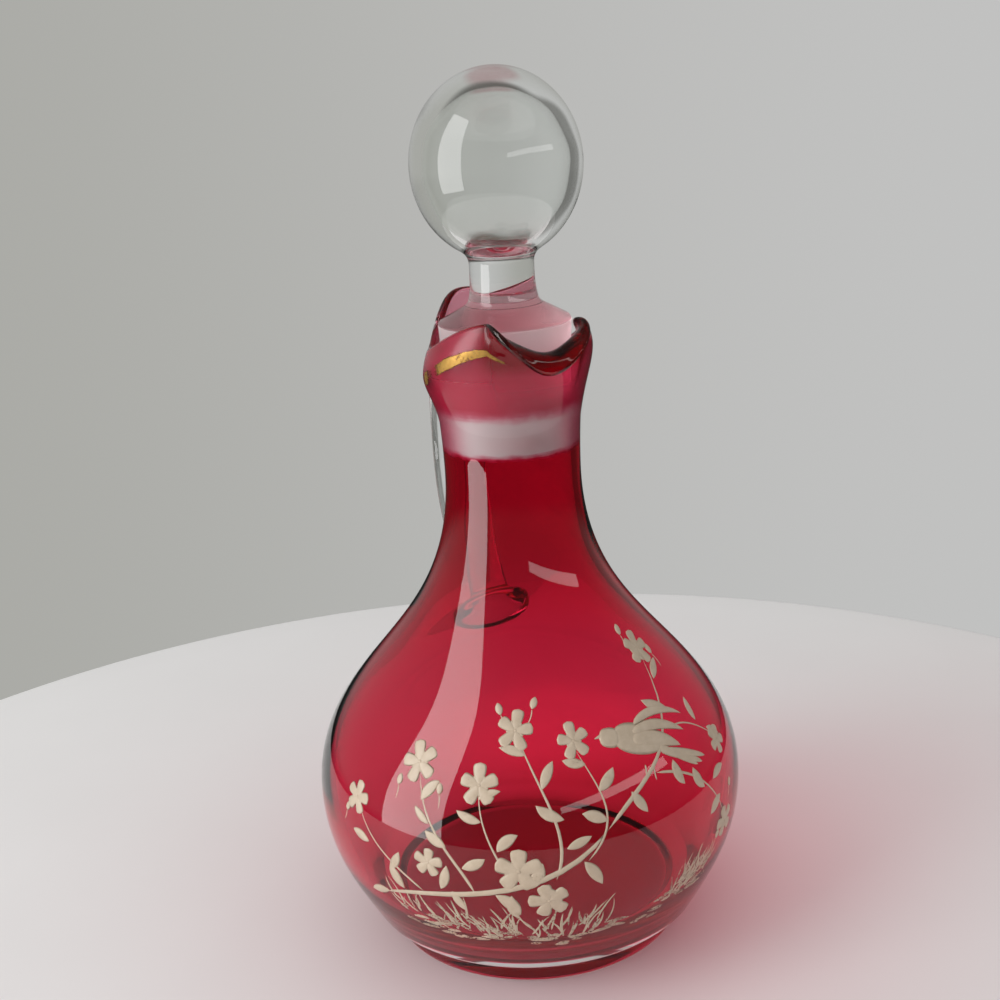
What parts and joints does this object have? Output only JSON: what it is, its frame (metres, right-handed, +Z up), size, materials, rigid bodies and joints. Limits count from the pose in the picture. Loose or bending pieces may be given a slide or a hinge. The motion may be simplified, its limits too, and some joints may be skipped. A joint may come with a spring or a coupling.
{
  "type": "decanter",
  "caption": "Blown ruby glass decanter with a foot, trefoil pouring mouth, applied clear handle and hollow ball stopper that lifts out.",
  "frame": {"origin": "middle of the flat base, on the surface the decanter stands on", "axes": "+Z up along the axis of the neck, -Y towards the pouring lip, +Y towards the handle"},
  "size_m": [0.1184, 0.1184, 0.2351],
  "materials": {
    "ruby_glass": "fire polished, clear glass cased with ruby inside",
    "clear_glass": "fire polished",
    "stopper_glass": "fire polished, with a ground plug"
  },
  "bodies": {
    "flask": {"vessel": "ruby_glass", "handle": "clear_glass"},
    "stopper": {"stopper": "stopper_glass"}
  },
  "joints": [
    {"name": "stopper_lift", "type": "slide", "parent": "flask", "child": "stopper", "axis": [0, 0, 1], "range_m": [0, 0.06]}
  ]
}
